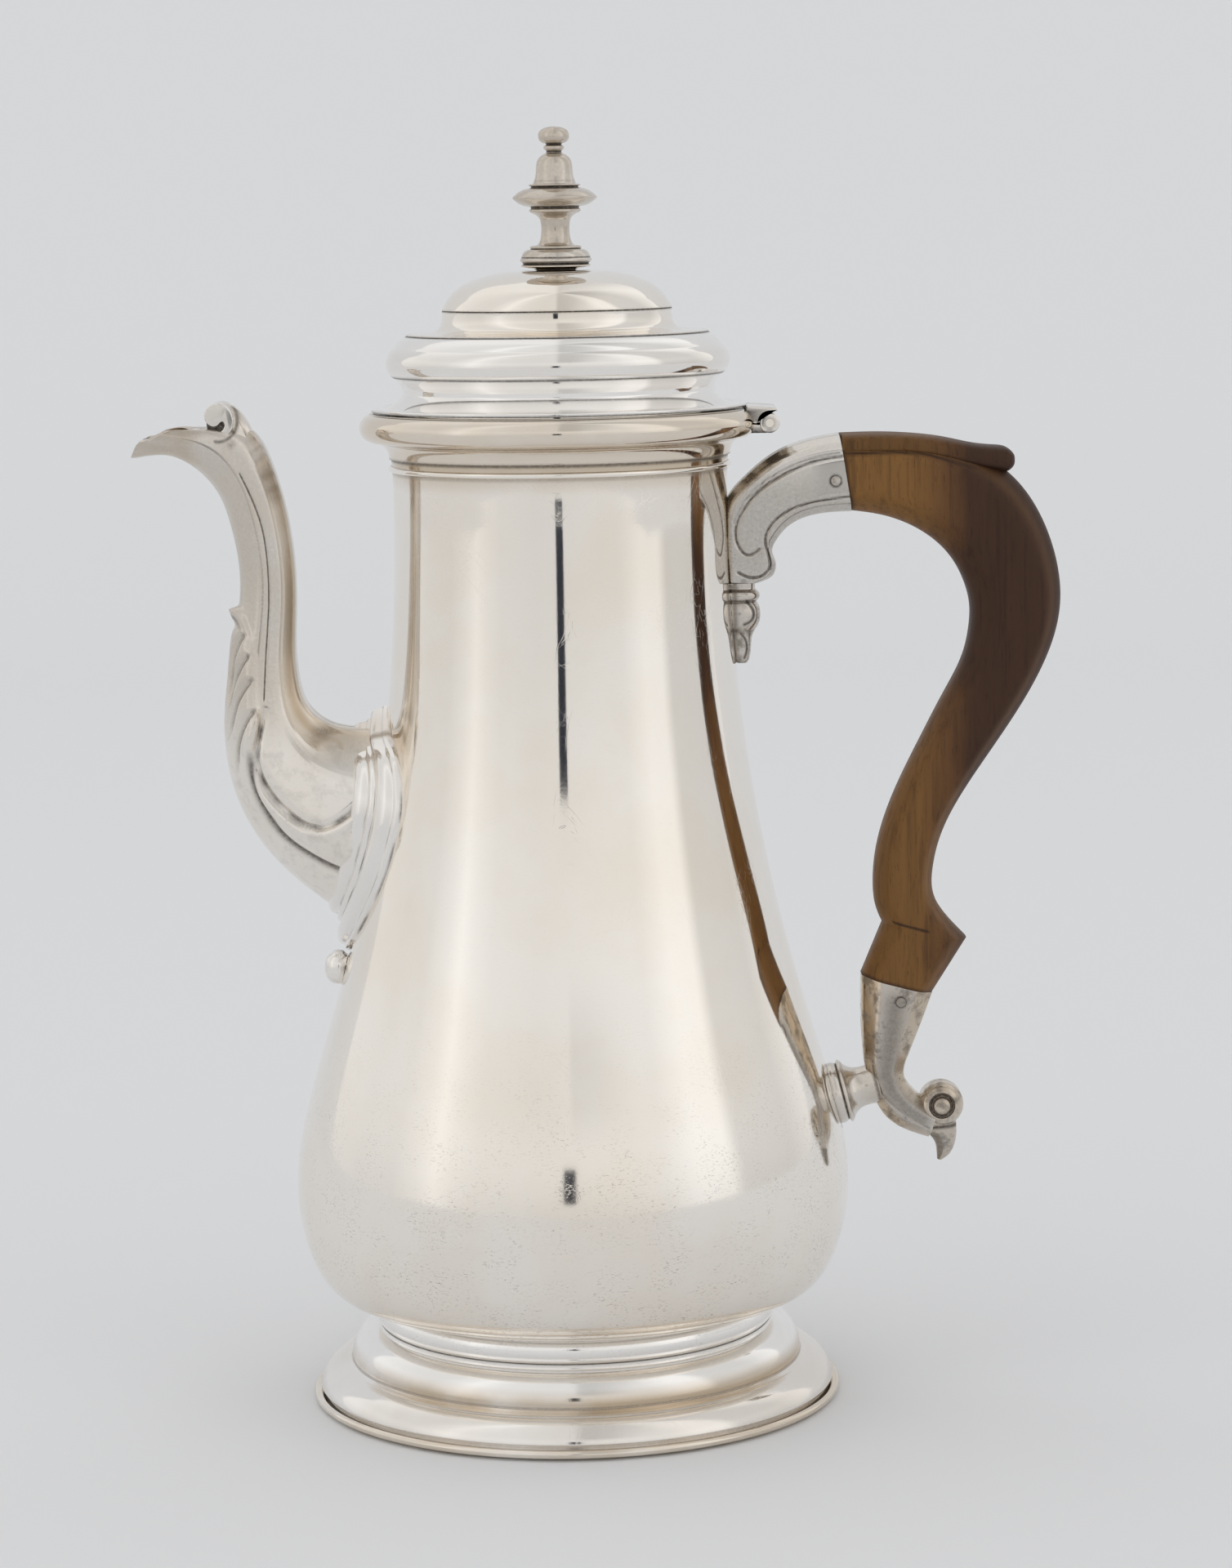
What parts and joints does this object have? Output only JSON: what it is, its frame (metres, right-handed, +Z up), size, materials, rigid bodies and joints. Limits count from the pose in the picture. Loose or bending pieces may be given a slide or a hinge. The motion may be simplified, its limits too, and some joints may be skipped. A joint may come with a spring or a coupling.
{
  "type": "coffee pot",
  "caption": "Tall baluster coffee pot in polished silver with a stepped foot, hinged domed lid, turned finial, scroll-lipped spout and carved wooden handle.",
  "frame": {"origin": "centre of the foot's underside, on the body's axis", "axes": "+Z up along the body's axis, +X towards the handle, -X towards the spout, XZ is the plane of symmetry"},
  "size_m": [0.2062, 0.1246, 0.2853],
  "materials": {
    "raised_silver": "polished silver with fine wear",
    "cast_silver": "polished cast silver, dark in the grooves",
    "fruitwood": "satin, worn at the edges"
  },
  "bodies": {
    "pot": {"foot_rim": "raised_silver", "foot_moulding": "raised_silver", "foot_collar": "raised_silver", "body_shell": "raised_silver", "neck_wire": "raised_silver", "rim_moulding": "raised_silver", "upper_pin": "raised_silver", "lower_pin": "raised_silver", "hinge_body_leaf": "raised_silver", "hinge_pin": "raised_silver", "spout_left_half": "cast_silver", "spout_right_half": "cast_silver", "spout_mount": "cast_silver", "spout_drop": "cast_silver", "upper_socket": "cast_silver", "upper_pendant": "cast_silver", "lower_socket": "cast_silver", "lower_boss": "cast_silver", "handle": "fruitwood"},
    "lid": {"lid_moulding": "raised_silver", "lid_dome": "raised_silver", "lid_bezel": "raised_silver", "hinge_lid_leaf": "raised_silver", "finial_seat": "raised_silver", "finial": "raised_silver", "finial_nut": "raised_silver"}
  },
  "joints": [
    {"name": "lid_hinge", "type": "hinge", "parent": "pot", "child": "lid", "pos_m": [0.0464, 0, 0.2199], "axis": [0, 1, 0], "range_deg": [0, 105]}
  ]
}
